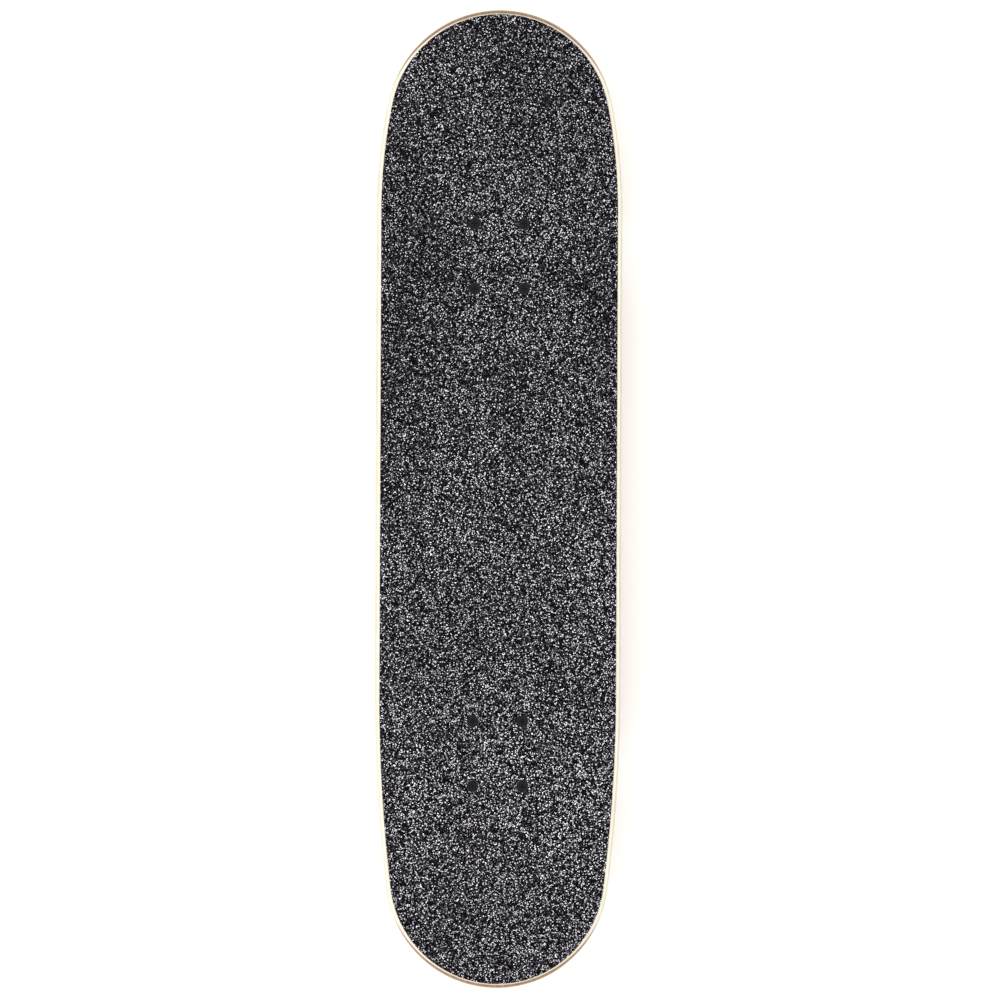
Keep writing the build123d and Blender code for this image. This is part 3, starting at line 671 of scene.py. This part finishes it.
class SKATE_OT_trucks(bpy.types.Operator):
    """Cast and dress both trucks"""

    bl_idname = "skate.trucks"
    bl_label = "Trucks"

    def execute(self, context):
        look = context.scene.skate_truck
        # A pale, slightly pitted skin with broad soft highlights
        casting = speckled_material(
            "tumbled_cast_aluminium", look.casting, 1.0, 0.42, 1.2 * MM, 0.05 * MM
        )
        # Bright cool metal, smooth, with sharper highlights than the castings
        zinc = speckled_material("zinc_plated_steel", look.zinc, 1.0, 0.3, 2 * MM, 0.01 * MM)
        # Nearly black and matt, so that the sunk heads hardly show in the grip
        black = speckled_material(
            "black_oxide_steel", look.black, 0.0, 0.6, 1 * MM, 0.01 * MM, 0.3, Specular_IOR_Level=0.12
        )
        # The brightest metal, close to a mirror
        ground = speckled_material("ground_bearing_steel", look.ground, 1.0, 0.2, 2 * MM, 0.005 * MM)
        # Waxy amber that lets a little light in
        soft = speckled_material(
            "cast_amber_urethane",
            look.bushing,
            0.0,
            0.35,
            3 * MM,
            0.01 * MM,
            Subsurface_Weight=0.3,
            Subsurface_Scale=2 * MM,
        )
        # Satin black
        cup = speckled_material("black_urethane", look.cup, 0.0, 0.5, 1 * MM, 0.02 * MM)
        for end in ENDS:
            for part, body in (("hanger", f"{end}_hanger"), ("baseplate", "board")):
                piece = softened_copy(f"{end}_{part}", f"{end}_cast_{part}", look.casting_cell, passes=5)
                settle(piece, f"{end}_{part}", body, casting)
            piece = softened_copy(
                f"{end}_pivot_cup", f"{end}_moulded_pivot_cup", look.cup_cell, passes=4
            )
            settle(piece, f"{end}_pivot_cup", "board", cup)
            for part, far, near in (
                ("boardside", look.board_bushing, look.ring_half),
                ("roadside", -look.road_bushing, -look.ring_half),
            ):
                node = f"{end}_{part}_bushing"
                piece = softened_copy(node, f"{end}_{part}_rubber", look.bushing_cell, passes=6)
                settle(piece, node, None, soft)
                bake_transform(piece)
        finishes = {
            "kingpin": zinc,
            "kingpin_nut": zinc,
            "boardside_washer": zinc,
            "roadside_washer": zinc,
            "mounting_bolts": black,
            "mounting_nuts": black,
            "axle": zinc,
            "axle_nuts": zinc,
            "speed_washers": zinc,
            "bearing_spacers": zinc,
            "bearing_inner_rings": ground,
        }
        for end in ENDS:
            for piece, finish in finishes.items():
                dress(f"{end}_{piece}", finish)
            for side in SIDES:
                dress(f"{end}_{side}_bearing_outer_rings", ground)
                dress(f"{end}_{side}_bearing_balls", ground)
        return {"FINISHED"}


class SKATE_OT_wheels(bpy.types.Operator):
    """Dress the wheels and their bearings' soft parts"""

    bl_idname = "skate.wheels"
    bl_label = "Wheels"

    def execute(self, context):
        look = context.scene.skate_wheel
        # Off-white and faintly waxy, mottled with road dirt
        urethane = speckled_material(
            "cast_white_urethane",
            look.urethane,
            0.0,
            0.42,
            2.5 * MM,
            0.01 * MM,
            0.3,
            look.dirt,
            Subsurface_Weight=0.1,
            Subsurface_Scale=2 * MM,
        )
        # Satin black seals and warm white cages
        rubber = speckled_material("moulded_shield_rubber", look.shield, 0.0, 0.5, 1 * MM, 0.01 * MM)
        nylon = speckled_material("moulded_nylon", look.cage, 0.0, 0.45, 1 * MM, 0.01 * MM)
        for end in ENDS:
            for side in SIDES:
                dress(f"{end}_{side}_wheel", urethane)
                dress(f"{end}_{side}_bearing_shields", rubber)
                dress(f"{end}_{side}_bearing_cages", nylon)
        return {"FINISHED"}


class SKATE_OT_stage(bpy.types.Operator):
    """Lay the floor, hang the lights and set the camera"""

    bl_idname = "skate.stage"
    bl_label = "Stage"

    def execute(self, context):
        look = context.scene.skate_stage
        deselect()
        bpy.ops.mesh.primitive_plane_add(size=look.floor_size)
        floor = context.object
        floor.name = "floor"
        # Matt, so that the board leaves a soft shadow and no reflection
        material, _, _ = new_material(
            "pale_paper_floor", Base_Color=look.floor, Roughness=0.9, Specular_IOR_Level=0.1
        )
        floor.data.materials.append(material)

        world = context.scene.world or bpy.data.worlds.new("studio")
        context.scene.world = world
        world.use_nodes = True
        background = world.node_tree.nodes["Background"]
        background.inputs["Color"].default_value = (1, 1, 1, 1)
        background.inputs["Strength"].default_value = 1.0

        for name, spot, size, power in SOFTBOXES:
            bpy.ops.object.light_add(type="AREA", location=spot)
            lamp = context.object
            lamp.name = name
            lamp.data.size = size
            lamp.data.energy = power
            lamp.rotation_euler = (-Vector(spot)).to_track_quat("-Z", "Y").to_euler()

        bpy.ops.object.camera_add(location=look.camera_place)
        camera = context.object
        camera.rotation_euler = (0, 0, look.camera_roll)
        camera.data.lens = look.camera_lens
        camera.data.sensor_width = 36
        camera.data.clip_end = 50
        context.scene.camera = camera
        context.scene.view_settings.view_transform = "Standard"
        return {"FINISHED"}


class SKATE_PT_panel(bpy.types.Panel):
    """Lists the makers of the board's parts"""

    bl_label = "Skateboard"
    bl_idname = "SKATE_PT_panel"
    bl_space_type = "VIEW_3D"
    bl_region_type = "UI"
    bl_category = "Skateboard"

    def draw(self, context):
        for operator in OPERATORS:
            self.layout.operator(operator.bl_idname)


OPERATORS = (SKATE_OT_stage, SKATE_OT_grip, SKATE_OT_deck, SKATE_OT_trucks, SKATE_OT_wheels)
CLASSES = (*SETTINGS.values(), *OPERATORS, SKATE_PT_panel)


def register():
    for cls in CLASSES:
        bpy.utils.register_class(cls)
    for name, group in SETTINGS.items():
        setattr(bpy.types.Scene, name, PointerProperty(type=group))


def unregister():
    for name in SETTINGS:
        delattr(bpy.types.Scene, name)
    for cls in reversed(CLASSES):
        bpy.utils.unregister_class(cls)


def main():
    register()
    bpy.ops.skate.stage()
    bpy.ops.skate.grip()
    bpy.ops.skate.deck()
    bpy.ops.skate.trucks()
    bpy.ops.skate.wheels()


if __name__ == "__main__":
    main()
